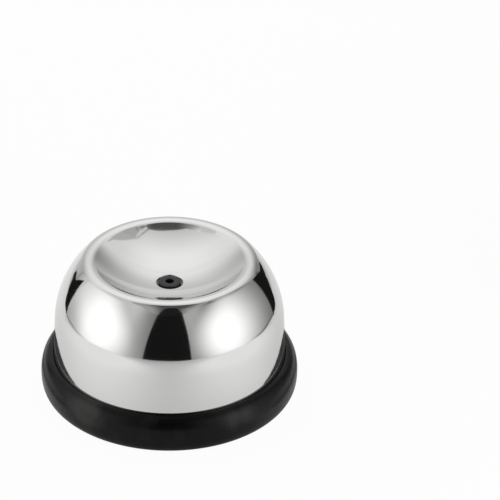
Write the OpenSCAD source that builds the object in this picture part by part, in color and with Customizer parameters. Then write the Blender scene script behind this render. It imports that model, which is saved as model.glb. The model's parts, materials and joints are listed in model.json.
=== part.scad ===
// Egg piercer: a polished steel dome with a dished top, a sprung button round a fixed needle,
// and a rubber base ring. Millimetres, +Z up, origin on the table under the centre line.

/* [Dome] */
// Height of the rim above the table
dome_h = 33.4; // [31:0.2:37]
// Radius of the shoulder's curve, seen in section
shoulder_r = 22.6; // [20:0.2:25]
// Lean of the dome's wall from upright, in degrees
wall_taper = 3; // [0:0.5:5]
// Radius of the rolled rim between shoulder and dish
rim_r = 2.4; // [1.6:0.1:3]
// Thickness of the steel sheet
sheet_t = 0.8; // [0.6:0.1:1.1]
// Width of the hem turned inward at the dome's foot
hem_w = 2.4; // [2:0.1:3.2]
// Outer bend radius of the hem
hem_bend_r = 1.4; // [1.2:0.1:1.6]

/* [Dish] */
// Spherical radius of the dish
dish_r = 27.5; // [25:0.5:34]
// Depth of the dish below the rim
dish_depth = 6.4; // [5:0.1:7]
// Radius on the edge of the dish's hole
hole_edge_r = 0.4; // [0.2:0.1:0.6]

/* [Base ring] */
// Outside diameter of the rubber ring
ring_d = 60; // [54:0.5:66]
// Width of the rubber that shows past the dome's foot
ring_w = 2.8; // [2.4:0.1:4]
// Height of the rubber ring
ring_h = 8.8; // [8:0.1:10]
// Height of the ring's widest level above the table
ring_belly_z = 4; // [3.4:0.1:4.6]
// Squareness of the ring's section below its widest level, 2 is round
ring_square = 3.1; // [2.4:0.1:4]
// Squareness of the ring's section above its widest level, 2 is round
ring_round = 2.1; // [1.8:0.1:3]
// Rounding of the ring's top edge against the dome
lip_edge_r = 0.2; // [0.1:0.1:0.5]
// Thickness of the rubber foot under the floor
foot_t = 2.2; // [1.8:0.1:2.8]
// Inner diameter of the rubber foot
foot_in_d = 46; // [43:0.5:48]

/* [Floor] */
// Thickness of the moulded floor
floor_t = 2; // [1.6:0.1:2.6]
// Reach of the floor's flange into the ring, past the dome's wall
flange_reach = 1; // [0.8:0.1:1.4]
// Thickness of the ribs and rims moulded on the floor
rib_t = 1.2; // [0.8:0.1:1.6]
// Number of radial ribs under the floor
spokes = 6; // [3:1:9]
// Height of the rim that locates the turret on the floor
locate_h = 1.2; // [0.8:0.1:2]
// Number of snap lugs that hold the dome's hem
lugs = 6; // [3:1:8]
// Width of a snap lug along the hem
lug_w = 7; // [5:0.5:9]
// Thickness of a snap lug
lug_t = 1.3; // [1:0.1:1.8]
// Height of a lug's hook above the hem
hook_h = 1.6; // [1.2:0.1:2.4]

/* [Press] */
// Diameter of the button
button_d = 5.2; // [4.8:0.1:6]
// Height of the button's face above the bottom of the dish
button_rise = 0.4; // [0:0.1:1]
// Rounding of the button's edge
button_edge_r = 0.3; // [0.2:0.1:0.6]
// Diameter of the needle hole through the plunger
needle_hole_d = 1.9; // [1.7:0.1:2.4]
// Travel of the button
press_travel = 3; // [2:0.1:4]
// Thickness of the plunger's stop collar
stop_t = 1.5; // [1.2:0.1:2]
// Length of the plunger's skirt inside the spring
skirt_l = 4; // [3:0.1:5]

/* [Turret] */
// Wall of the turret's tube
turret_wall = 1.8; // [1.4:0.1:2.4]
// Thickness of the turret's top, which stops the plunger
turret_top_t = 1.6; // [1.2:0.1:2.2]
// Width of the seat flange under the dish, past the tube
seat_w = 2.5; // [1.5:0.1:3.5]
// Edge thickness of the seat flange
seat_t = 1; // [0.8:0.1:1.4]
// Thickness of the turret's foot
turret_foot_t = 1.6; // [1.2:0.1:2.2]
// Width of the turret's foot past its screw bosses
turret_foot_w = 0.8; // [0.5:0.1:1.4]
// Height of the gussets above the turret's foot
gusset_h = 6; // [4:0.5:9]

/* [Needle] */
// Diameter of the needle
needle_d = 1.2; // [0.9:0.1:1.4]
// Length of the needle's point
point_l = 3; // [2:0.1:4]
// Flat left at the tip of the point
point_flat_d = 0.1; // [0.05:0.05:0.2]
// Depth of the point below the button's face at rest
needle_recess = 1; // [0.4:0.1:1.4]
// Thickness of the needle holder's flange
holder_flange_t = 1.2; // [0.8:0.1:1.6]
// Diameter of the holder's spigot in the floor
spigot_d = 4; // [3:0.1:5]
// Length of the holder's spigot in the floor
spigot_l = 0.7; // [0.5:0.1:1]

/* [Spring] */
// Diameter of the spring wire
wire_d = 0.6; // [0.4:0.05:0.7]
// Mean diameter of the spring
spring_d = 7.6; // [7.2:0.1:9]
// Number of turns in the spring
turns = 9; // [7:1:11]

/* [Screws] */
// Number of screws through the floor
screws = 3; // [3:1:4]
// Diameter of a screw
screw_d = 2.9; // [2.4:0.1:3.5]
// Length of a screw under its head
screw_l = 8; // [6:0.5:10]
// Diameter of a screw head
head_d = 5.4; // [4.8:0.1:6]
// Height of a screw head
head_h = 1.7; // [1.4:0.1:2]
// Wall of the moulding round a screw
boss_wall = 1.6; // [1.2:0.1:2]
// Width of the cross recess in a screw head
drive_w = 0.8; // [0.6:0.1:1]
// Length of the cross recess in a screw head
drive_l = 3; // [2.4:0.1:3.4]
// Depth of the cross recess in a screw head
drive_h = 0.9; // [0.6:0.1:1.1]

/* [Clearances] */
// Gap where fixed pieces seat in each other
seat_gap = 0.05; // [0.02:0.01:0.1]
// Gap round the needle in its holder
press_gap = 0.02; // [0.01:0.01:0.04]
// Radial gap where the plunger slides
slide_gap = 0.08; // [0.03:0.01:0.1]
// Radial gap between the button and the dish's hole
hole_gap = 0.35; // [0.15:0.05:0.5]
// Radial gap inside and outside the spring
spring_gap = 0.6; // [0.4:0.1:0.8]
// Gap between the hook of a lug and the bend of the hem
bend_gap = 0.4; // [0.2:0.1:0.6]
// Radial gap round a screw's head, and past its tip
screw_gap = 0.4; // [0.2:0.1:0.6]
// Gap between the plunger and the needle holder at full travel
end_gap = 1; // [0.5:0.1:1.5]
// Height of the ribs and screw heads above the table
table_gap = 0.9; // [0.5:0.1:1.2]
// Gap between the foot's inner edge and the rib inside it
foot_gap = 0.6; // [0.3:0.1:1]

/* [Hidden] */
$fn = 96;

// Degrees between the points of a curve
fine_step = 5;
coarse_step = 15;
// Overlap of two shapes that are one moulding
fuse = 0.6;
// Distance below which two points of an outline are one
same_place = 0.001;

// Dome and dish: the rim's circle touches the shoulder inside and the dish outside,
// and the leaning wall touches the bends of the hem and the shoulder
wall_r = ring_d / 2 - ring_w;
floor_z = foot_t + floor_t;
dish_z = dome_h - dish_depth;
dish_c = [0, dish_z + dish_r];
rim_c = [sqrt(pow(dish_r + rim_r, 2) - pow(dish_c.y - dome_h + rim_r, 2)), dome_h - rim_r];
hem_c = [wall_r - hem_bend_r, floor_z + hem_bend_r];
wall_out = [cos(wall_taper), sin(wall_taper)];
wall_up = [-sin(wall_taper), cos(wall_taper)];
rim_away = rim_c - hem_c + (shoulder_r - hem_bend_r) * wall_out;
shoulder_rise = rim_away * wall_up - sqrt(pow(shoulder_r - rim_r, 2) - pow(rim_away * wall_out, 2));
shoulder_c = hem_c - (shoulder_r - hem_bend_r) * wall_out + shoulder_rise * wall_up;
hole_r = button_d / 2 + hole_gap;
hole_edge_x = hole_r + hole_edge_r;
hole_edge_c = [hole_edge_x, dish_c.y - sqrt(pow(dish_r + hole_edge_r, 2) - pow(hole_edge_x, 2))];

// Floor and ring
flange_r = wall_r + flange_reach;
hem_in_r = wall_r - hem_w;
lug_r = hem_in_r - seat_gap;
hook_r = wall_r - hem_bend_r - bend_gap;
hook_z = floor_z + sheet_t + seat_gap;
crown_r = wall_at(ring_h - lip_edge_r) + seat_gap + lip_edge_r;

// Press, from the dish down
dish_under_z = dish_z - sheet_t - seat_gap;
stop_z = dish_under_z - turret_top_t;
face_z = dish_z + button_rise;
collar_z = stop_z - seat_gap;
spring_top_z = collar_z - stop_t;
skirt_z = spring_top_z - skirt_l;
bore_r = (spring_d + wire_d) / 2 + spring_gap;
guide_r = (spring_d - wire_d) / 2 - spring_gap;
button_r = button_d / 2;
turret_r = bore_r + turret_wall;
seat_r = turret_r + seat_w;

// Needle and holder, from the floor up
holder_z = floor_z - spigot_l;
spring_z = floor_z + holder_flange_t;
post_z = skirt_z - press_travel - end_gap;
point_z = face_z - needle_recess;

// Screws
boss_r = screw_d / 2 + boss_wall;
screw_r = turret_r + boss_r - fuse;
head_z = table_gap + head_h;
pilot_z = head_z + screw_l + screw_gap;
turret_foot_r = screw_r + boss_r + turret_foot_w;
pocket_r = head_d / 2 + screw_gap;
rib_top_z = foot_t + fuse;
rib_h = rib_top_z - table_gap;

// Points of an arc round c, from angle a to angle b
function arc(c, r, a, b, step) =
    let (n = max(1, ceil(abs(b - a) / step)))
    [for (i = [0:n]) c + r * [cos(a + (b - a) * i / n), sin(a + (b - a) * i / n)]];

// Direction in degrees from point p to point q
function bearing(p, q) = atan2(q.y - p.y, q.x - p.x);

// Radius of the leaning wall at height z
function wall_at(z) = hem_c.x + hem_bend_r / cos(wall_taper) - (z - hem_c.y) * tan(wall_taper);

// The outline without points that repeat their neighbour
function tidy(points) =
    [for (i = [0:len(points) - 1])
        if (norm(points[i] - points[(i + 1) % len(points)]) > same_place) points[i]];

// Places copies evenly round the centre line, the first at angle start
module around(count, start = 0) {
    for (i = [0:count - 1]) rotate([0, 0, start + 360 * i / count]) children();
}

// One face of the sheet from the foot to the rim and down to the dish, lying inset inside the outer face
function sheet_face(inset) =
    let (rim_start = bearing(shoulder_c, rim_c))
    let (rim_end = bearing(rim_c, dish_c))
    let (dish_start = bearing(dish_c, rim_c))
    let (dish_end = -90 + asin(hole_edge_x / (dish_r + hole_edge_r)))
    concat(
        arc(hem_c, hem_bend_r - inset, -90, wall_taper, coarse_step),
        arc(shoulder_c, shoulder_r - inset, wall_taper, rim_start, fine_step),
        arc(rim_c, rim_r - inset, rim_start, rim_end, coarse_step),
        arc(dish_c, dish_r + inset, dish_start, dish_end, fine_step)
    );

// Drawn sheet: hem, wall, shoulder, rolled rim, and the dish drawn back down to its pierced hole
module dome_shell() {
    outer = sheet_face(0);
    inner = sheet_face(sheet_t);
    edge = arc(hole_edge_c, hole_edge_r, bearing(hole_edge_c, dish_c), 180, coarse_step);
    hole_under_z = dish_c.y - sqrt(pow(dish_r + sheet_t, 2) - pow(hole_r, 2));
    back = [for (i = [len(inner) - 1:-1:0]) inner[i]];
    hem = [[hem_in_r, floor_z + sheet_t], [hem_in_r, floor_z]];
    color([0.82, 0.82, 0.81])
        rotate_extrude() polygon(tidy(concat(outer, edge, [[hole_r, hole_under_z]], back, hem)));
}

// Quarter of a superellipse round c, from angle a to angle b
function crown(c, half_w, half_h, power, a, b) =
    [for (i = [a:coarse_step / 2:b])
        c + [half_w * pow(abs(cos(i)), 2 / power), half_h * sign(i) * pow(abs(sin(i)), 2 / power)]];

// Rubber ring: square below and round above, a groove for the floor's flange, and a lip against the dome
module base_ring() {
    crown_w = ring_d / 2 - crown_r;
    belly_c = [crown_r, ring_belly_z];
    below = crown(belly_c, crown_w, ring_belly_z, ring_square, -90, 0);
    above = crown(belly_c, crown_w, ring_h - ring_belly_z, ring_round, 0, 90);
    lip = arc([crown_r, ring_h - lip_edge_r], lip_edge_r, 90, 180, coarse_step);
    groove_r = flange_r + seat_gap;
    groove_z = floor_z + seat_gap;
    bore_z = hem_c.y + hem_bend_r * sin(wall_taper);
    inside = [[wall_at(bore_z) + seat_gap, bore_z], [wall_r + seat_gap, hem_c.y],
              [wall_r + seat_gap, groove_z], [groove_r, groove_z], [groove_r, foot_t],
              [foot_in_d / 2, foot_t], [foot_in_d / 2, 0]];
    color([0.09, 0.09, 0.09])
        rotate_extrude() polygon(tidy(concat(below, above, lip, inside)));
}

// Ring of rectangular section
module band(r_in, r_out, z_low, z_high) {
    translate([0, 0, z_low]) difference() {
        cylinder(r = r_out, h = z_high - z_low);
        translate([0, 0, -1]) cylinder(r = r_in, h = z_high - z_low + 2);
    }
}

// Snap lug whose hook reaches over the hem
module lug() {
    sweep = lug_w / lug_r * 180 / PI;
    section = [[lug_r - lug_t, floor_z - fuse], [lug_r, floor_z - fuse], [lug_r, hook_z], [hook_r, hook_z],
               [lug_r, hook_z + hook_h], [lug_r - lug_t, hook_z + hook_h]];
    rotate([0, 0, -sweep / 2]) rotate_extrude(angle = sweep) polygon(section);
}

// Moulded floor: flange, snap lugs and locating rim above, ribs and screw pockets below
module base_plate() {
    hub_r = spigot_d / 2 + boss_wall;
    outer_rib_r = foot_in_d / 2 - foot_gap;
    rim_in_r = turret_foot_r + seat_gap;
    color([0.13, 0.13, 0.13]) difference() {
        union() {
            translate([0, 0, foot_t]) cylinder(r = flange_r, h = floor_t);
            band(rim_in_r, rim_in_r + rib_t, floor_z - fuse, floor_z + locate_h);
            around(lugs) lug();
            band(outer_rib_r - rib_t, outer_rib_r, table_gap, rib_top_z);
            band(screw_r - rib_t / 2, screw_r + rib_t / 2, table_gap, rib_top_z);
            translate([0, 0, table_gap]) cylinder(r = hub_r, h = rib_h);
            around(screws) translate([screw_r, 0, table_gap]) cylinder(r = pocket_r + rib_t, h = rib_h);
            around(spokes, 180 / spokes) translate([hub_r - fuse, -rib_t / 2, table_gap])
                cube([outer_rib_r - rib_t + 2 * fuse - hub_r, rib_t, rib_h]);
        }
        translate([0, 0, holder_z - seat_gap]) cylinder(r = spigot_d / 2 + seat_gap, h = floor_t);
        around(screws) translate([screw_r, 0, 0]) {
            cylinder(r = pocket_r, h = head_z);
            cylinder(r = screw_d / 2 + seat_gap, h = floor_z + 1);
        }
    }
}

// Moulded guide: tube with a stop at its top, a seat under the dish, screw bosses and gussets
module guide_turret() {
    top_r = dish_r + sheet_t + seat_gap;
    top_hole_r = button_r + slide_gap;
    seat_end = -90 + asin(seat_r / top_r);
    seat_start = -90 + asin(top_hole_r / top_r);
    top = arc(dish_c, top_r, seat_end, seat_start, fine_step);
    flare_z = top[0].y - seat_t;
    foot_top_z = floor_z + turret_foot_t;
    section = concat(
        [[bore_r, floor_z], [turret_foot_r, floor_z], [turret_foot_r, foot_top_z],
         [turret_r, foot_top_z], [turret_r, flare_z - seat_w], [seat_r, flare_z]],
        top,
        [[top_hole_r, stop_z], [bore_r, stop_z]]
    );
    gusset_in_r = turret_r - fuse;
    gusset = [[gusset_in_r, foot_top_z - fuse], [screw_r + boss_r, foot_top_z - fuse],
              [screw_r + boss_r, foot_top_z], [turret_r, foot_top_z + gusset_h],
              [gusset_in_r, foot_top_z + gusset_h]];
    color([0.85, 0.85, 0.83]) difference() {
        union() {
            rotate_extrude() polygon(section);
            around(screws) translate([screw_r, 0, floor_z])
                cylinder(r = boss_r, h = pilot_z + boss_wall - floor_z);
            around(screws, 180 / screws) rotate([90, 0, 0])
                linear_extrude(rib_t, center = true) polygon(gusset);
        }
        around(screws) translate([screw_r, 0, floor_z - 1])
            cylinder(r = screw_d / 2 + seat_gap, h = pilot_z - floor_z + 1);
    }
}

// Plunger: the button in the dish, its stop collar, and the skirt inside the spring
module plunger() {
    needle_hole_r = needle_hole_d / 2;
    collar_r = bore_r - slide_gap;
    entry = (guide_r - needle_hole_r) / 2;
    button_edge = arc([button_r - button_edge_r, face_z - button_edge_r], button_edge_r, 0, 90, coarse_step);
    section = concat(
        [[needle_hole_r + entry, skirt_z], [guide_r, skirt_z], [guide_r, spring_top_z],
         [collar_r, spring_top_z], [collar_r, collar_z], [button_r, collar_z]],
        button_edge,
        [[needle_hole_r, face_z], [needle_hole_r, skirt_z + entry]]
    );
    color([0.11, 0.11, 0.11])
        rotate_extrude() polygon(tidy(section));
}

// Needle: a straight pin with a ground point
module needle() {
    r = needle_d / 2;
    section = [[0, holder_z], [r, holder_z], [r, point_z - point_l], [point_flat_d / 2, point_z],
               [0, point_z]];
    color([0.75, 0.75, 0.76])
        rotate_extrude() polygon(section);
}

// Turned ferrule: spigot in the floor, flange under the spring, post round the needle
module needle_holder() {
    bore = needle_d / 2 + press_gap;
    flange = bore_r - slide_gap;
    chamfer = (guide_r - bore) / 3;
    section = [[bore, holder_z], [spigot_d / 2, holder_z], [spigot_d / 2, floor_z], [flange, floor_z],
               [flange, spring_z], [guide_r, spring_z], [guide_r, post_z - chamfer],
               [guide_r - chamfer, post_z], [bore, post_z]];
    color([0.78, 0.62, 0.28])
        rotate_extrude() polygon(section);
}

// Spring wire: a straight leg, an elbow, the turns, an elbow and a straight leg
wire_rings = 8;
wire_sides = 6;
spring_r = spring_d / 2;
leg_z = spring_z + seat_gap;
leg_top_z = spring_top_z - seat_gap;
turn_z = leg_z + 2 * wire_d;
turn_top_z = leg_top_z - 2 * wire_d;
turn_points = wire_rings * turns;

// Each point of the wire's centre line, with the angle round the spring as its fourth number
spring_line = concat(
    [[spring_r, -wire_d, leg_z, 0]],
    [for (t = [0:30:60]) [spring_r, -wire_d * cos(t), leg_z + wire_d * (1 + sin(t)), 0]],
    [for (i = [0:turn_points]) let (a = 360 * i / wire_rings)
        [spring_r * cos(a), spring_r * sin(a), turn_z + (turn_top_z - turn_z) * i / turn_points, a]],
    [for (t = [30:30:90]) [spring_r, wire_d * sin(t), turn_top_z + wire_d * (1 - cos(t)), 0]],
    [[spring_r, wire_d, leg_top_z, 0]]
);
function place(p) = [p[0], p[1], p[2]];

// Unit vector along the wire at point i
function wire_way(i) =
    let (a = max(0, i - 1))
    let (b = min(len(spring_line) - 1, i + 1))
    let (way = place(spring_line[b]) - place(spring_line[a]))
    way / norm(way);

// Ring of points round the wire at point i
function wire_ring(i) =
    let (out = [cos(spring_line[i][3]), sin(spring_line[i][3]), 0])
    let (side = cross(wire_way(i), out))
    [for (k = [0:wire_sides - 1]) let (a = 360 * k / wire_sides)
        place(spring_line[i]) + wire_d / 2 * (cos(a) * out + sin(a) * side)];

// Least gap between parts of the wire that lie more than half a turn apart
spring_gaps = [
    for (i = [0:len(spring_line) - 1])
        for (j = [i + wire_rings / 2:1:len(spring_line) - 1])
            norm(place(spring_line[i]) - place(spring_line[j])) - wire_d
];
echo("least gap of the spring to itself", min(spring_gaps));

// Helical return spring, one unbroken wire
module return_spring() {
    last = len(spring_line) - 1;
    points = [for (i = [0:last]) each wire_ring(i)];
    sides = [for (i = [0:last - 1]) for (k = [0:wire_sides - 1])
        let (a = i * wire_sides + k)
        let (b = i * wire_sides + (k + 1) % wire_sides)
        each [[a, b, a + wire_sides], [b, b + wire_sides, a + wire_sides]]];
    ends = [for (k = [1:wire_sides - 2])
        each [[0, k + 1, k], [last * wire_sides, last * wire_sides + k, last * wire_sides + k + 1]]];
    color([0.66, 0.67, 0.68])
        polyhedron(points = points, faces = concat(sides, ends));
}

// Pan-head self-tapping screw with a cross recess, driven up from below
module screw() {
    crown_h = head_h / 3;
    tip_z = head_h + screw_l;
    shank_r = screw_d / 2;
    section = [[0, 0], [head_d / 2 - crown_h, 0], [head_d / 2, crown_h], [head_d / 2, head_h],
               [shank_r, head_h], [shank_r, tip_z - screw_d], [shank_r / 4, tip_z], [0, tip_z]];
    difference() {
        rotate_extrude() polygon(section);
        for (a = [0, 90]) rotate([0, 0, a])
            translate([0, 0, drive_h / 2 - 0.5]) cube([drive_l, drive_w, drive_h + 1], center = true);
    }
}

module base_screws() {
    color([0.6, 0.6, 0.6])
        around(screws) translate([screw_r, 0, table_gap]) screw();
}

dome_shell();
base_ring();
base_plate();
guide_turret();
plunger();
needle();
needle_holder();
return_spring();
base_screws();
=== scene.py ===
"""Egg piercer: the looks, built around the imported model.

Metres, +Z up, origin on the table under the centre line. The camera stands on the -Y side.
Sizes are written in millimetres and angles in degrees.
"""

import json
import math

import bpy
from mathutils import Euler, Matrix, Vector


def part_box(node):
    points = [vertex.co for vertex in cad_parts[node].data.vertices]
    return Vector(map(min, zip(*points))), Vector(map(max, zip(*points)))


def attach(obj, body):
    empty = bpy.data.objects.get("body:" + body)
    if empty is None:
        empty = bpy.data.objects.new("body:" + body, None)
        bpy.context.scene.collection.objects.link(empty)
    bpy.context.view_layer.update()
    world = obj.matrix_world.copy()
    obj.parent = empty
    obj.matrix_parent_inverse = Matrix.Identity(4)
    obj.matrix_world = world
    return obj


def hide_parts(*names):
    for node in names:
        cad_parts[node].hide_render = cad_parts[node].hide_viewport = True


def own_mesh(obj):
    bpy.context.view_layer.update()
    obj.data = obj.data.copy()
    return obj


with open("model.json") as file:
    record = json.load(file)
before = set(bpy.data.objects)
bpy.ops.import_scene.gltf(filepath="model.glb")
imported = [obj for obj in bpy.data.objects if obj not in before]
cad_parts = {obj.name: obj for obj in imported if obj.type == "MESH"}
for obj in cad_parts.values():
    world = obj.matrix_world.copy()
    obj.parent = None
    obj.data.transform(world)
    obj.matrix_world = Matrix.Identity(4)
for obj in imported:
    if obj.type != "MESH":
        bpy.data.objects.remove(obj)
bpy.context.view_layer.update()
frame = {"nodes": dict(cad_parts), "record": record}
nodes = frame["nodes"]

MM = 0.001

# Sizes of the drawn steel
SHOULDER_R = 22.6
WALL_TAPER = 3.0
RIM_R = 2.4
DISH_R = 27.5
DISH_DEPTH = 6.4
SHEET_T = 0.8
HEM_W = 2.4
HEM_BEND_R = 1.4
HOLE_R = 2.95
HOLE_EDGE_R = 0.4

# Sizes of the rubber ring
RING_BELLY_Z = 4.0
RING_SQUARE = 3.1
RING_ROUND = 2.1
LIP_EDGE_R = 0.2
FOOT_T = 2.2
FOOT_IN_R = 23.0
FLANGE_R = 28.2
SEAT_GAP = 0.05

# Sizes of the plunger
BUTTON_R = 2.6
BUTTON_EDGE_R = 0.3
NEEDLE_HOLE_R = 0.95
HOLE_LIP_R = 0.2
COLLAR_T = 1.5
COLLAR_Z = 24.5
GUIDE_R = 2.9

# Sizes of the spring
WIRE_D = 0.6
SPRING_R = 3.8
TURNS = 9
RINGS_PER_TURN = 48
ELBOW_STEPS = 6
WIRE_SIDES = 14

# Fineness of the turned meshes
SEGMENTS = 256
ARC_LENGTH_STEP = 0.3
ARC_ANGLE_STEP = 5.0
LINE_STEP = 1.2
RING_STEPS = 120
SAME_POINT = 1e-4
SHARP_ANGLE = 35.0


def low(node):
    """Lowest corner of a node, in millimetres."""
    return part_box(node)[0] / MM


def high(node):
    """Highest corner of a node, in millimetres."""
    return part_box(node)[1] / MM


WALL_R = high("dome_shell").x
DOME_H = high("dome_shell").z
FLOOR_Z = low("dome_shell").z
RING_R = high("base_ring").x
RING_H = high("base_ring").z
FACE_Z = high("plunger").z
SKIRT_Z = low("plunger").z
COLLAR_R = high("plunger").x


# Outlines, as lists of (radius, height) in millimetres

def arc(centre, radius, start, end):
    """Points of an arc round centre, from angle start to angle end in degrees."""
    sweep = abs(end - start)
    by_length = math.radians(sweep) * abs(radius) / ARC_LENGTH_STEP
    count = max(2, math.ceil(by_length), math.ceil(sweep / ARC_ANGLE_STEP))
    points = []
    for i in range(count + 1):
        angle = math.radians(start + (end - start) * i / count)
        points.append((centre[0] + radius * math.cos(angle), centre[1] + radius * math.sin(angle)))
    return points


def line(start, end):
    """Points along a straight stretch, the ends among them."""
    length = math.dist(start, end)
    count = max(1, math.ceil(length / LINE_STEP))
    points = []
    for i in range(count + 1):
        t = i / count
        points.append((start[0] + (end[0] - start[0]) * t, start[1] + (end[1] - start[1]) * t))
    return points


def bearing(start, end):
    """Direction in degrees from one point to another."""
    return math.degrees(math.atan2(end[1] - start[1], end[0] - start[0]))


def joined(*stretches):
    """One closed outline from stretches, without points that repeat their neighbour."""
    points = []
    for stretch in stretches:
        for point in stretch:
            if not points or math.dist(points[-1], point) > SAME_POINT:
                points.append(point)
    if math.dist(points[0], points[-1]) < SAME_POINT:
        points.pop()
    return points


def shoulder_centre():
    """Centre of the shoulder's curve, which touches the leaning wall and the rim."""
    reach = SHOULDER_R - HEM_BEND_R
    start = (HEM_C[0] - reach * WALL_OUT[0], HEM_C[1] - reach * WALL_OUT[1])
    away = (RIM_C[0] - start[0], RIM_C[1] - start[1])
    across = away[0] * WALL_OUT[0] + away[1] * WALL_OUT[1]
    along = away[1] * WALL_OUT[0] - away[0] * WALL_OUT[1]
    rise = along - math.sqrt((SHOULDER_R - RIM_R) ** 2 - across ** 2)
    return (start[0] - rise * WALL_OUT[1], start[1] + rise * WALL_OUT[0])


def wall_at(height):
    """Radius of the leaning wall at a height."""
    return HEM_C[0] + (HEM_BEND_R - (height - HEM_C[1]) * WALL_OUT[1]) / WALL_OUT[0]


def on_wall(centre, radius):
    """Point where a curve round centre touches the leaning wall."""
    return (centre[0] + radius * WALL_OUT[0], centre[1] + radius * WALL_OUT[1])


DISH_Z = DOME_H - DISH_DEPTH
DISH_C = (0.0, DISH_Z + DISH_R)
RIM_C = (math.sqrt((DISH_R + RIM_R) ** 2 - (DISH_C[1] - DOME_H + RIM_R) ** 2), DOME_H - RIM_R)
HEM_C = (WALL_R - HEM_BEND_R, FLOOR_Z + HEM_BEND_R)
WALL_OUT = (math.cos(math.radians(WALL_TAPER)), math.sin(math.radians(WALL_TAPER)))
SHOULDER_C = shoulder_centre()
HOLE_EDGE_X = HOLE_R + HOLE_EDGE_R
HOLE_EDGE_C = (HOLE_EDGE_X, DISH_C[1] - math.sqrt((DISH_R + HOLE_EDGE_R) ** 2 - HOLE_EDGE_X ** 2))


def sheet_face(inset):
    """One face of the sheet, from the hem up over the rim and down to the dish's hole."""
    rim_start = bearing(SHOULDER_C, RIM_C)
    dish_end = -90 + math.degrees(math.asin(HOLE_EDGE_X / (DISH_R + HOLE_EDGE_R)))
    return joined(
        arc(HEM_C, HEM_BEND_R - inset, -90, WALL_TAPER),
        line(on_wall(HEM_C, HEM_BEND_R - inset), on_wall(SHOULDER_C, SHOULDER_R - inset)),
        arc(SHOULDER_C, SHOULDER_R - inset, WALL_TAPER, rim_start),
        arc(RIM_C, RIM_R - inset, rim_start, bearing(RIM_C, DISH_C)),
        arc(DISH_C, DISH_R + inset, bearing(DISH_C, RIM_C), dish_end),
    )


def shell_outline():
    """Section of the drawn sheet, with its hem and the rounded edge of its hole."""
    edge = arc(HOLE_EDGE_C, HOLE_EDGE_R, bearing(HOLE_EDGE_C, DISH_C), 180)
    hole_under_z = DISH_C[1] - math.sqrt((DISH_R + SHEET_T) ** 2 - HOLE_R ** 2)
    hem_in_r = WALL_R - HEM_W
    hem = [(hem_in_r, FLOOR_Z + SHEET_T), (hem_in_r, FLOOR_Z)]
    return joined(sheet_face(0), edge, [(HOLE_R, hole_under_z)], sheet_face(SHEET_T)[::-1], hem)


def ring_outline():
    """Section of the rubber ring: square below and round above, with a groove for the floor inside."""
    crown_r = wall_at(RING_H - LIP_EDGE_R) + SEAT_GAP + LIP_EDGE_R
    outside = []
    for i in range(RING_STEPS + 1):
        angle = math.radians(-90 + 180 * i / RING_STEPS)
        power = RING_ROUND if angle > 0 else RING_SQUARE
        half_h = RING_H - RING_BELLY_Z if angle > 0 else RING_BELLY_Z
        across = abs(math.cos(angle)) ** (2 / power)
        up = math.copysign(abs(math.sin(angle)) ** (2 / power), angle)
        outside.append((crown_r + (RING_R - crown_r) * across, RING_BELLY_Z + half_h * up))
    lip = arc((crown_r, RING_H - LIP_EDGE_R), LIP_EDGE_R, 90, 180)
    groove_r = FLANGE_R + SEAT_GAP
    groove_z = FLOOR_Z + SEAT_GAP
    bore = on_wall(HEM_C, HEM_BEND_R)
    seat_r = WALL_R + SEAT_GAP
    inside = [(bore[0] + SEAT_GAP, bore[1]), (seat_r, HEM_C[1]), (seat_r, groove_z),
              (groove_r, groove_z), (groove_r, FOOT_T), (FOOT_IN_R, FOOT_T), (FOOT_IN_R, 0.0)]
    return joined(outside, lip, inside)


def plunger_outline():
    """Section of the plunger: button, stop collar and skirt, round the needle hole."""
    entry = (GUIDE_R - NEEDLE_HOLE_R) / 2
    collar_under_z = COLLAR_Z - COLLAR_T
    below = [(NEEDLE_HOLE_R + entry, SKIRT_Z), (GUIDE_R, SKIRT_Z), (GUIDE_R, collar_under_z),
             (COLLAR_R, collar_under_z), (COLLAR_R, COLLAR_Z), (BUTTON_R, COLLAR_Z)]
    edge = arc((BUTTON_R - BUTTON_EDGE_R, FACE_Z - BUTTON_EDGE_R), BUTTON_EDGE_R, 0, 90)
    lip = arc((NEEDLE_HOLE_R + HOLE_LIP_R, FACE_Z - HOLE_LIP_R), HOLE_LIP_R, 90, 180)
    return joined(below, edge, lip, [(NEEDLE_HOLE_R, SKIRT_Z + entry)])


# Meshes

def new_piece(name, verts, faces):
    """A smooth mesh object with sharp corners kept, from points in millimetres."""
    mesh = bpy.data.meshes.new(name)
    mesh.from_pydata([Vector(v) * MM for v in verts], [], faces)
    mesh.validate()
    mesh.shade_smooth()
    mesh.set_sharp_from_angle(angle=math.radians(SHARP_ANGLE))
    piece = bpy.data.objects.new(name, mesh)
    bpy.context.scene.collection.objects.link(piece)
    return piece


def turned(name, outline):
    """A closed outline turned round the centre line."""
    verts = []
    for radius, height in outline:
        for k in range(SEGMENTS):
            angle = 2 * math.pi * k / SEGMENTS
            verts.append((radius * math.cos(angle), radius * math.sin(angle), height))
    faces = []
    rows = len(outline)
    for i in range(rows):
        for k in range(SEGMENTS):
            here, after = i * SEGMENTS, (i + 1) % rows * SEGMENTS
            turn = (k + 1) % SEGMENTS
            faces.append((here + k, here + turn, after + turn, after + k))
    return new_piece(name, verts, faces)


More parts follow.
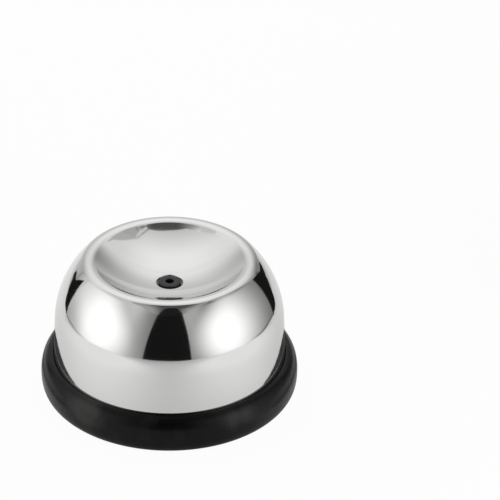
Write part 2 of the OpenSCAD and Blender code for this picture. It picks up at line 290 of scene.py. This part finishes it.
def spring_line():
    """Centre line of the spring wire: a leg, an elbow, the turns, an elbow and a leg."""
    low_z, high_z = low("return_spring").z, high("return_spring").z
    first_z, last_z = low_z + 2 * WIRE_D, high_z - 2 * WIRE_D
    points = [Vector((SPRING_R, -WIRE_D, low_z))]
    for i in range(ELBOW_STEPS):
        t = math.radians(90 * i / ELBOW_STEPS)
        points.append(Vector((SPRING_R, -WIRE_D * math.cos(t), low_z + WIRE_D * (1 + math.sin(t)))))
    count = RINGS_PER_TURN * TURNS
    for i in range(count + 1):
        a = 2 * math.pi * i / RINGS_PER_TURN
        z = first_z + (last_z - first_z) * i / count
        points.append(Vector((SPRING_R * math.cos(a), SPRING_R * math.sin(a), z)))
    for i in range(1, ELBOW_STEPS + 1):
        t = math.radians(90 * i / ELBOW_STEPS)
        points.append(Vector((SPRING_R, WIRE_D * math.sin(t), last_z + WIRE_D * (1 - math.cos(t)))))
    points.append(Vector((SPRING_R, WIRE_D, high_z)))
    return points


def swept(name, points, diameter):
    """A round wire along points that wind round the centre line, closed at its ends."""
    verts, faces = [], []
    last = len(points) - 1
    for i, point in enumerate(points):
        way = (points[min(last, i + 1)] - points[max(0, i - 1)]).normalized()
        out = Vector((point.x, point.y, 0)).normalized()
        side = way.cross(out).normalized()
        out = side.cross(way)
        for k in range(WIRE_SIDES):
            a = 2 * math.pi * k / WIRE_SIDES
            verts.append(point + diameter / 2 * (math.cos(a) * out + math.sin(a) * side))
    for i in range(last):
        for k in range(WIRE_SIDES):
            here, turn = i * WIRE_SIDES + k, i * WIRE_SIDES + (k + 1) % WIRE_SIDES
            faces.append((here, turn, turn + WIRE_SIDES, here + WIRE_SIDES))
    faces.append(tuple(range(WIRE_SIDES))[::-1])
    faces.append(tuple(last * WIRE_SIDES + k for k in range(WIRE_SIDES)))
    return new_piece(name, verts, faces)


# Materials

# The part of a noise's range that is spread over a tone or a polish
NOISE_LOW = 0.3
NOISE_HIGH = 0.7

# Detail of the fine noise, how many times coarser the broad one is, and the strength of the relief
METAL_DETAIL = 3.0
METAL_BROAD = 8
METAL_RELIEF = 0.4
MOULDED_DETAIL = 4.0
MOULDED_BROAD = 40
MOULDED_RELIEF = 0.5

# How much of the broad noise comes through away from the painted highlights
REST_AWAY_FROM_HIGHLIGHTS = 0.6


def shader(name):
    """A new material, its node tree and its Principled shader."""
    made = bpy.data.materials.new(name)
    made.use_nodes = True
    tree = made.node_tree
    return made, tree, tree.nodes["Principled BSDF"]


def bare(name):
    """A new material without a shader, its node tree and its output."""
    made = bpy.data.materials.new(name)
    made.use_nodes = True
    tree = made.node_tree
    tree.nodes.clear()
    return made, tree, tree.nodes.new("ShaderNodeOutputMaterial")


def noise(tree, scale, detail=2.0, stretch=(1, 1, 1)):
    """Noise over the object's own coordinates; scale counts features in a metre."""
    place = tree.nodes.new("ShaderNodeTexCoord")
    mapping = tree.nodes.new("ShaderNodeMapping")
    mapping.inputs["Scale"].default_value = stretch
    texture = tree.nodes.new("ShaderNodeTexNoise")
    texture.inputs["Scale"].default_value = scale
    texture.inputs["Detail"].default_value = detail
    tree.links.new(place.outputs["Object"], mapping.inputs["Vector"])
    tree.links.new(mapping.outputs["Vector"], texture.inputs["Vector"])
    return texture.outputs["Fac"]


def vary(tree, factor, socket, least, most):
    """Lets a factor around a half run a socket between two values."""
    ranged = tree.nodes.new("ShaderNodeMapRange")
    ranged.inputs["From Min"].default_value = NOISE_LOW
    ranged.inputs["From Max"].default_value = NOISE_HIGH
    ranged.inputs["To Min"].default_value = least
    ranged.inputs["To Max"].default_value = most
    tree.links.new(factor, ranged.inputs["Value"])
    tree.links.new(ranged.outputs["Result"], socket)


def tint(tree, factor, socket, dark, pale):
    """Lets a factor run a colour socket between two colours."""
    ramp = tree.nodes.new("ShaderNodeValToRGB")
    ramp.color_ramp.elements[0].position = NOISE_LOW
    ramp.color_ramp.elements[1].position = NOISE_HIGH
    ramp.color_ramp.elements[0].color = (*dark, 1)
    ramp.color_ramp.elements[1].color = (*pale, 1)
    tree.links.new(factor, ramp.inputs["Fac"])
    tree.links.new(ramp.outputs["Color"], socket)


def relief(tree, factor, strength, depth):
    """Raises a surface by a factor, depth in millimetres."""
    bump = tree.nodes.new("ShaderNodeBump")
    bump.inputs["Strength"].default_value = strength
    bump.inputs["Distance"].default_value = depth * MM
    tree.links.new(factor, bump.inputs["Height"])
    tree.links.new(bump.outputs["Normal"], tree.nodes["Principled BSDF"].inputs["Normal"])


def metal(name, dark, pale, rough, grain, depth=0.0, stretch=(1, 1, 1)):
    """A metal with a faintly uneven tone and polish."""
    made, tree, look = shader(name)
    look.inputs["Metallic"].default_value = 1.0
    fine = noise(tree, grain, METAL_DETAIL, stretch)
    tint(tree, noise(tree, grain / METAL_BROAD), look.inputs["Base Color"], dark, pale)
    vary(tree, fine, look.inputs["Roughness"], *rough)
    if depth:
        relief(tree, fine, METAL_RELIEF, depth)
    return made


def pool(centre, gain, inside, outside, stretch=(1, 1, 1)):
    """A fall round a point: gain inside one distance and nothing past another, in millimetres."""
    return (centre, stretch, gain, inside, outside)


def band(axis, at, gain, inside, outside):
    """A fall to both sides of a place on one axis."""
    stretch = tuple(1.0 if axis == name else 0.0 for name in "XYZ")
    return (tuple(at * s for s in stretch), stretch, gain, inside, outside)


def spread(tree, socket, strength, falls):
    """Runs a strength over a surface, with the falls added to it.
    Without falls the socket keeps its own value."""
    if not falls:
        return
    place = tree.nodes.new("ShaderNodeTexCoord")
    total = None
    for centre, stretch, gain, inside, outside in falls:
        away = tree.nodes.new("ShaderNodeVectorMath")
        away.operation = "SUBTRACT"
        away.inputs[1].default_value = Vector(centre) * MM
        scaled = tree.nodes.new("ShaderNodeVectorMath")
        scaled.operation = "MULTIPLY"
        scaled.inputs[1].default_value = stretch
        length = tree.nodes.new("ShaderNodeVectorMath")
        length.operation = "LENGTH"
        fall = tree.nodes.new("ShaderNodeMapRange")
        fall.interpolation_type = "SMOOTHSTEP"
        fall.inputs["From Min"].default_value = inside * MM
        fall.inputs["From Max"].default_value = outside * MM
        fall.inputs["To Min"].default_value = gain
        fall.inputs["To Max"].default_value = 0.0
        add = tree.nodes.new("ShaderNodeMath")
        add.operation = "ADD"
        add.inputs[1].default_value = strength
        tree.links.new(place.outputs["Object"], away.inputs[0])
        tree.links.new(away.outputs["Vector"], scaled.inputs[0])
        tree.links.new(scaled.outputs["Vector"], length.inputs[0])
        tree.links.new(length.outputs["Value"], fall.inputs["Value"])
        tree.links.new(fall.outputs["Result"], add.inputs[0])
        if total:
            tree.links.new(total, add.inputs[1])
        total = add.outputs[0]
    tree.links.new(total, socket)


def with_painted_highlights(tree, factor, patches):
    """A factor kept low all over and let through at patches from pool, which are painted highlights."""
    through = tree.nodes.new("ShaderNodeMath")
    through.operation = "MULTIPLY"
    spread(tree, through.inputs[0], REST_AWAY_FROM_HIGHLIGHTS, patches)
    tree.links.new(factor, through.inputs[1])
    return through.outputs[0]


def moulded(name, dark, pale, rough, grain, depth, specular=0.5, sheen=0.0, painted_highlights=()):
    """A moulded rubber or plastic with a fine grain. With painted highlights it is pale only there, where
    lamps would mirror in it.
    """
    made, tree, look = shader(name)
    look.inputs["Specular IOR Level"].default_value = specular
    look.inputs["Sheen Weight"].default_value = sheen
    fine = noise(tree, grain, MOULDED_DETAIL)
    broad = noise(tree, grain / MOULDED_BROAD)
    if painted_highlights:
        broad = with_painted_highlights(tree, broad, painted_highlights)
    tint(tree, broad, look.inputs["Base Color"], dark, pale)
    vary(tree, fine, look.inputs["Roughness"], *rough)
    relief(tree, fine, MOULDED_RELIEF, depth)
    return made


def finishes():
    """Every finish, by the record's slot."""
    return {
        "polished_steel": metal(
            "polished_steel", (0.715, 0.712, 0.7), (0.73, 0.727, 0.715), (0.05, 0.08), 400),
        # The rubber's pale tone shows only at the painted highlights, which stand in for the lamps mirrored
        # in the ring.
        "black_rubber": moulded(
            "black_rubber", (0.0025, 0.0025, 0.0025), (0.034, 0.034, 0.032), (0.22, 0.34), 6000, 0.012,
            specular=0.15, sheen=0.05, painted_highlights=RING_PAINTED_HIGHLIGHTS),
        "floor_plastic": moulded(
            "floor_plastic", (0.016, 0.016, 0.016), (0.024, 0.024, 0.024), (0.5, 0.62), 5000, 0.02),
        "natural_plastic": moulded(
            "natural_plastic", (0.7, 0.69, 0.64), (0.76, 0.75, 0.71), (0.4, 0.5), 3000, 0.01),
        "button_plastic": moulded(
            "button_plastic", (0.009, 0.009, 0.009), (0.014, 0.014, 0.014), (0.34, 0.42), 5000, 0.006,
            specular=0.4),
        "needle_steel": metal(
            "needle_steel", (0.6, 0.6, 0.61), (0.66, 0.66, 0.67), (0.15, 0.25), 4000, 0.002,
            stretch=(1, 1, 0.1)),
        "turned_brass": metal(
            "turned_brass", (0.72, 0.5, 0.2), (0.8, 0.58, 0.26), (0.2, 0.32), 2500, 0.004,
            stretch=(0.1, 0.1, 1)),
        "spring_steel": metal(
            "spring_steel", (0.46, 0.47, 0.48), (0.56, 0.57, 0.58), (0.25, 0.38), 3000, 0.002),
        "zinc_steel": metal(
            "zinc_steel", (0.56, 0.57, 0.6), (0.66, 0.66, 0.66), (0.25, 0.4), 2500, 0.003),
    }


def dress(piece, slot):
    """Gives a piece the one finish of its slot."""
    piece.data.materials.clear()
    piece.data.materials.append(FINISH[slot])


# Painted highlights on the rubber ring: pale pools where the left and right lamps mirror in its upper
# flank.
PAINTED_HIGHLIGHT_FLAT = (1, 1, 1.8)
RING_PAINTED_HIGHLIGHTS = [
    pool((-19, -22, 6.3), 0.9, 1, 7.5, PAINTED_HIGHLIGHT_FLAT),
    pool((15.6, -24.6, 6.3), 1.0, 0.5, 6, PAINTED_HIGHLIGHT_FLAT),
]
FINISH = finishes()
SLOT_OF = {part["node"]: part["material_slot"] for part in frame["record"]["subparts"]}

# The seen pieces, turned finely enough for clean reflections, and the spring as a round wire
pieces = {
    "dome_shell": turned("steel_dome", shell_outline()),
    "base_ring": turned("rubber_ring", ring_outline()),
    "plunger": turned("press_plunger", plunger_outline()),
    "return_spring": swept("spring_wire", spring_line(), WIRE_D),
}
for node, piece in pieces.items():
    dress(piece, SLOT_OF[node])
    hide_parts(node)
    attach(piece, "press_button" if node == "plunger" else "housing")
for node in nodes:
    if node not in pieces:
        dress(nodes[node], SLOT_OF[node])

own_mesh(pieces["return_spring"])


# Studio: a white cloth tent with a slit in front, a dark flap over its front half and an open back.
# Behind it are a bright cloth, and a screen with a black flag at either side. Along the floor run
# the dim gap under the walls, the paper that curls up before it, the flags' feet and the ring's shade.
# The camera sees only the floor of it. Bearings count from the front.

TENT_CENTRE = -105.0
TENT_HALF_X = 155.0
TENT_HALF_Y = 160.0
TENT_H = 290.0
TENT_BACK = 147.0
CORNER_CUT = 131.0
LEFT_BACK_H = 160.0
RIGHT_BACK_H = 206.0
SLIT_FOOT = (-41.0, 33.0)
SLIT_HEAD = (-27.0, 29.0)
CLOTH_COLUMNS = 40
GAP_INSET = 1.0
CURL_INSET = 2.0
FLAP_HALF_X = 200.0
UNDER_FLAP_Z = TENT_H - 1
BACK_LIGHT_Z = TENT_H + 5
BACK_LIGHT_FRONT = -100.0
BACK_Y = 260.0
BACK_HALF_X = 500.0
BACK_H = 300.0
BACK_GAP = 2.0
SCREEN_START = (88.0, 30.0)
SCREEN_TURN = 55.0
FLAG_NEARER = 2.0
CURL_END_NEARER = 3.0
FLAG_FOOT_Z = 0.3
FLOOR_REACH = 1500.0
FLOOR_TONE = 0.95
SHADE_Z = 0.2
SHADE_IN_R = 35.6


def on_stage(name, corners, faces, look):
    """A mesh of the studio, from points in millimetres."""
    mesh = bpy.data.meshes.new(name)
    mesh.from_pydata([Vector(c) * MM for c in corners], [], faces)
    mesh.shade_smooth()
    made = bpy.data.objects.new(name, mesh)
    made.data.materials.append(look)
    bpy.context.scene.collection.objects.link(made)
    return made


def card(name, corners, look):
    """A flat card that the object sees and the camera doesn't."""
    made = on_stage(name, corners, [tuple(range(len(corners)))], look)
    made.visible_camera = False
    return made


def floor_mark(name, plan, height, look):
    """A card just over the floor that only mirrors see, so that it leaves no shade on the floor."""
    made = card(name, [(x, y, height) for x, y in plan], look)
    made.visible_diffuse = False
    made.visible_shadow = False


def on_tent(bearing_deg, height, inset=0.0):
    """A point on the tent's wall, or in front of it by inset."""
    a = math.radians(bearing_deg)
    x = (TENT_HALF_X - inset) * math.sin(a)
    y = TENT_CENTRE - (TENT_HALF_Y - inset) * math.cos(a)
    return (x, y, height)


def strip(name, columns, look):
    """A bent card through columns of a low and a high point, which the camera doesn't see."""
    corners = [point for column in columns for point in column]
    faces = [(2 * i, 2 * i + 2, 2 * i + 3, 2 * i + 1) for i in range(len(columns) - 1)]
    made = on_stage(name, corners, faces, look)
    made.visible_camera = False


def cloth(name, foot, head, look, back_h=TENT_H):
    """A stretch of the tent's wall between two bearings at its foot and two at its head.
    Past CORNER_CUT its top slopes down to back_h."""
    columns = []
    for i in range(CLOTH_COLUMNS + 1):
        t = i / CLOTH_COLUMNS
        at_foot = foot[0] + (foot[1] - foot[0]) * t
        at_head = head[0] + (head[1] - head[0]) * t
        cut = max(0.0, abs(at_head) - CORNER_CUT) / (TENT_BACK - CORNER_CUT)
        columns.append((on_tent(at_foot, 0), on_tent(at_head, TENT_H + (back_h - TENT_H) * cut)))
    strip(name, columns, look)


def wall_foot(name, side, spots, look, inset):
    """A low strip along the foot of the tent's wall, from (bearing, height)."""
    columns = []
    for bearing_deg, height in spots:
        columns.append((on_tent(side * bearing_deg, 0, inset), on_tent(side * bearing_deg, height, inset)))
    strip(name, columns, look)


def glow(name, strength, *falls):
    """A glowing cloth, with falls from pool and band."""
    made, tree, out = bare(name)
    emission = tree.nodes.new("ShaderNodeEmission")
    emission.inputs["Strength"].default_value = strength
    tree.links.new(emission.outputs["Emission"], out.inputs["Surface"])
    spread(tree, emission.inputs["Strength"], strength, falls)
    return made


def upright(x0, y0, x1, y1, z0, z1):
    """Corners of an upright card from one plan point to another."""
    return [(x0, y0, z0), (x1, y1, z0), (x1, y1, z1), (x0, y0, z1)]


def level(x0, x1, y0, y1, z):
    """Corners of a level card."""
    return [(x0, y0, z), (x1, y0, z), (x1, y1, z), (x0, y1, z)]


def beside(side, spots, nearer=0.0):
    """Points on the screen that runs back from a side's edge of the tent, or nearer to the middle.
    They come from (distance along it, height)."""
    turn = math.radians(SCREEN_TURN)
    points = []
    for along, height in spots:
        x = SCREEN_START[0] + along * math.cos(turn) - nearer
        y = SCREEN_START[1] + along * math.sin(turn)
        points.append((side * x, y, height))
    return points


def make_walls():
    """Two lamp-lit cloths with a dark slit between them, and the gap and the paper at their feet."""
    left = glow("left_cloth", 0.2,
                band("Y", 60, 0.5, 198, 325),
                pool((-150, -61, 61), 0.88, 16, 148, (1, 1, 1.05)),
                pool((-97, 20, 0), -0.29, 13, 55))
    right = glow("right_cloth", 0.2,
                 pool((150, -98, 66), 1.3, 19, 166, (1, 1, 0.85)),
                 pool((110, -215, 253), 0.3, 20, 158, (1, 1, 0.36)),
                 pool((97, 20, 212), 0.3, 35, 110))
    cloth("left_wall", (-TENT_BACK, SLIT_FOOT[0]), (-TENT_BACK, SLIT_HEAD[0]), left, LEFT_BACK_H)
    cloth("slit", SLIT_FOOT, SLIT_HEAD, glow("slit_dark", 0.01))
    cloth("right_wall", (SLIT_FOOT[1], TENT_BACK), (SLIT_HEAD[1], TENT_BACK), right, RIGHT_BACK_H)
    left_gap = glow("left_gap_dim", 0.37, pool((-140, -35, 0), 0.5, 5, 75))
    right_gap = glow("right_gap_dim", 0.2, pool((140, -38, 0), 0.45, 12, 40))
    left_gap_h = [(147, 9), (144, 7.5), (140, 6.5), (136.5, 5.5), (133, 4), (127, 2.5), (118, 0.2)]
    right_gap_h = [(147, 8.5), (143.5, 8), (139, 6.5), (135, 5), (131, 3.5), (124, 3), (118, 2), (110, 0.2)]
    wall_foot("left_gap", -1, left_gap_h, left_gap, GAP_INSET)
    wall_foot("right_gap", 1, right_gap_h, right_gap, GAP_INSET)
    left_paper = glow("left_curl_paper", 0.8)
    right_paper = glow("right_curl_paper", 0.74)
    left_curl_h = [(147, 6), (144, 4), (140, 3), (136.5, 2), (133, 1), (127, 0.1)]
    right_curl_h = [(147, 5), (143.5, 4.5), (139, 3), (135, 2), (131, 1), (124, 1), (118, 0.8), (110, 0.1)]
    wall_foot("left_curl", -1, left_curl_h, left_paper, CURL_INSET)
    wall_foot("right_curl", 1, right_curl_h, right_paper, CURL_INSET)
    card("right_curl_end", beside(1, [(-4, 0), (9, 0), (4, 3), (-4, 5)], CURL_END_NEARER), right_paper)


def make_top():
    """A flap that is dark over the slit, and the bright cloth behind and above it."""
    front = TENT_CENTRE - TENT_HALF_Y
    flap = glow("flap_cloth", 0.95,
                band("X", 18, -0.34, 40, 130),
                band("Y", front, -0.52, 232, 272),
                pool((95, -222, TENT_H), 0.17, 12, 62),
                pool((115, -10, TENT_H), -0.13, 12, 40))
    flap_edge = [(-126, -5), (-113, 4), (-93, -13), (-65, -27), (0, -25), (45, -20), (81, -19),
                 (92, -32), (104, -17), (114, 0)]
    flap_plan = [(FLAP_HALF_X, 0), (FLAP_HALF_X, front), (-FLAP_HALF_X, front), (-FLAP_HALF_X, -5)]
    flap_plan += flap_edge
    card("flap", [(x, y, TENT_H) for x, y in flap_plan], flap)
    slit_head = [(-72, -272), (-64, -243), (-54, -227), (-33, -203), (-18, -182), (-8, -168), (3, -157),
                 (13, -153), (24, -158), (35, -174), (49, -204), (61, -219), (72, -236), (80, -272)]
    card("slit_head", [(x, y, UNDER_FLAP_Z) for x, y in slit_head], glow("slit_head_dark", 0.015))
    seam = [(79, -19), (83, -22), (121, 33), (118, 35)]
    card("seam", [(x, y, UNDER_FLAP_Z) for x, y in seam], glow("seam_dark", 0.2))
    back = glow("back_cloth", 0.57,
                band("Y", 160, 0.54, 30, 260),
                pool((260, 150, TENT_H), -0.25, 40, 239),
                pool((-280, 150, TENT_H), -0.14, 40, 250))
    back_plan = level(-BACK_HALF_X, BACK_HALF_X, BACK_LIGHT_FRONT, BACK_Y + BACK_GAP, BACK_LIGHT_Z)
    card("back_light", back_plan, back)


def make_back():
    """The cloth behind the object, and at either side a screen with a low black flag.
    A flag's foot lies on the floor, and its return stands before the cloth."""
    wall = glow("back_wall_cloth", 0.69,
                band("Z", BACK_H, 0.36, 20, 212),
                pool((270, BACK_Y, 107), -0.44, 50, 269, (1, 1, 0.8)),
                pool((-260, BACK_Y, 159), -0.2, 40, 214, (1, 1, 0.8)))
    card("back_wall", upright(-BACK_HALF_X, BACK_Y, BACK_HALF_X, BACK_Y, 0, BACK_H), wall)
    left_screen = [(0, 0), (150, 0), (150, 160), (0, 160)]
    right_screen = [(0, 0), (150, 0), (150, 162), (55, 162), (20, 212), (0, 245)]
    left = glow("left_screen_cloth", 0.99,
                band("Z", 0, -0.34, 5, 161),
                pool((-174, 153, 60), -0.34, 20, 153))
    right = glow("right_screen_cloth", 0.55,
                 band("Z", 0, -0.33, 34, 110),
                 pool((174, 153, 60), -0.18, 20, 116))
    card("left_screen", beside(-1, left_screen), left)
    card("right_screen", beside(1, right_screen), right)
    black = glow("flag_black", 0.01)
    left_flag = [(-1, 7), (4, 5.5), (14, 4), (23, 2.5), (39, 0), (280, 0), (280, 30), (100, 33), (18, 54),
                 (12, 43), (4, 30), (3, 14), (0, 9)]
    right_flag = [(5, 4), (12, 0), (280, 0), (280, 45), (14, 60), (10, 45), (5, 27)]
    left_foot = [(-100, 50), (-103, 54), (-105, 58), (-106.5, 62.5), (-109, 68), (-114, 76), (-126, 92),
                 (-143, 112)]
    right_foot = [(93, 40), (95, 44), (92, 47), (90, 50), (90, 57), (96, 67), (105, 79), (124, 101),
                  (141, 124), (160, 153), (180, 187), (215, 240), (246, 258)]
    left_return = [(-248, 0), (-215, 0), (-215, 16), (-248, 30)]
    right_return = [(248, 0), (172, 0), (172, 12), (248, 45)]
    card("left_flag", beside(-1, left_flag, FLAG_NEARER), black)
    card("right_flag", beside(1, right_flag, FLAG_NEARER), black)
    floor_mark("left_foot", left_foot, FLAG_FOOT_Z, black)
    floor_mark("right_foot", right_foot, FLAG_FOOT_Z, black)
    card("left_return", [(x, BACK_Y - BACK_GAP, z) for x, z in left_return], black)
    card("right_return", [(x, BACK_Y - BACK_GAP, z) for x, z in right_return], black)


def make_floor():
    """A pale floor that the camera sees as white, with the object's own shadow kept."""
    look, tree, out = bare("floor_paper")
    paper = tree.nodes.new("ShaderNodeBsdfDiffuse")
    paper.inputs["Color"].default_value = (FLOOR_TONE, FLOOR_TONE, FLOOR_TONE, 1)
    white = tree.nodes.new("ShaderNodeEmission")
    mixed = tree.nodes.new("ShaderNodeMixShader")
    path = tree.nodes.new("ShaderNodeLightPath")
    lit = [pool((side * 101, -61, 0), 0.78, 44, 103) for side in (-1, 1)]
    lit += [pool((-80, 95, 0), 0.48, 45, 108), pool((70, 85, 0), 0.32, 35, 95)]
    shares = {"Is Camera Ray": (0.96, []), "Is Glossy Ray": (0.22, lit), "Is Transmission Ray": (0.4, [])}
    seen = None
    for ray, (share, falls) in shares.items():
        part = tree.nodes.new("ShaderNodeMath")
        part.operation = "MULTIPLY_ADD"
        part.inputs[1].default_value = share
        part.inputs[2].default_value = 0.0
        tree.links.new(path.outputs[ray], part.inputs[0])
        spread(tree, part.inputs[1], share, falls)
        if seen:
            tree.links.new(seen, part.inputs[2])
        seen = part.outputs[0]
    tree.links.new(seen, mixed.inputs["Fac"])
    tree.links.new(paper.outputs["BSDF"], mixed.inputs[1])
    tree.links.new(white.outputs["Emission"], mixed.inputs[2])
    tree.links.new(mixed.outputs["Shader"], out.inputs["Surface"])
    plan = level(-FLOOR_REACH, FLOOR_REACH, -FLOOR_REACH, FLOOR_REACH, 0)
    on_stage("floor", plan, [(0, 1, 2, 3)], look)


def make_shade():
    """The shade on the floor at either side of the ring, as the foot of the dome mirrors it."""
    shade = glow("ring_shade_dim", 0.045)
    outer = [(60, 37.5), (67, 38.8), (74, 39.5), (84, 39.8), (94, 40.3), (103, 40.8), (111, 41),
             (118, 40.3), (125, 39)]
    inner = [(bearing_deg, SHADE_IN_R) for bearing_deg in range(125, 55, -10)]
    for name, side in (("left_shade", -1), ("right_shade", 1)):
        plan = []
        for bearing_deg, radius in outer + inner:
            a = math.radians(bearing_deg)
            plan.append((side * radius * math.sin(a), -radius * math.cos(a)))
        floor_mark(name, plan, SHADE_Z, shade)


def make_world():
    """White all round."""
    world = bpy.data.worlds.new("white")
    world.use_nodes = True
    back = world.node_tree.nodes["Background"]
    back.inputs["Color"].default_value = (1, 1, 1, 1)
    back.inputs["Strength"].default_value = 1.0
    bpy.context.scene.world = world


# Camera: the photograph's view, a long lens from above, with the object low and left in the frame

VIEW_ELEVATION = 32.7
VIEW_DISTANCE = 550.0
VIEW_HEIGHT = 16.0
FRAME_PX = 500
LENS_PX = 2366.0
OBJECT_PX = (169.7, 322.6)
SENSOR_MM = 36.0
NEAREST_M = 0.01
FARTHEST_M = 10.0


def make_camera():
    """The camera, aimed past the object so that it stands where the photograph has it."""
    data = bpy.data.cameras.new("camera")
    data.sensor_width = SENSOR_MM
    data.lens = SENSOR_MM * LENS_PX / FRAME_PX
    camera = bpy.data.objects.new("camera", data)
    bpy.context.scene.collection.objects.link(camera)
    up = math.radians(VIEW_ELEVATION)
    back = Vector((0, -math.cos(up), math.sin(up)))
    turn = math.atan((OBJECT_PX[0] - FRAME_PX / 2) / LENS_PX)
    tip = math.atan((OBJECT_PX[1] - FRAME_PX / 2) / LENS_PX)
    camera.location = (Vector((0, 0, VIEW_HEIGHT)) + back * VIEW_DISTANCE) * MM
    camera.rotation_mode = "QUATERNION"
    camera.rotation_quaternion = (-back).to_track_quat("-Z", "Y") @ Euler((tip, turn, 0)).to_quaternion()
    data.clip_start = NEAREST_M
    data.clip_end = FARTHEST_M
    bpy.context.scene.camera = camera


make_walls()
make_top()
make_back()
make_floor()
make_shade()
make_world()
make_camera()
bpy.context.scene.view_settings.view_transform = "Standard"
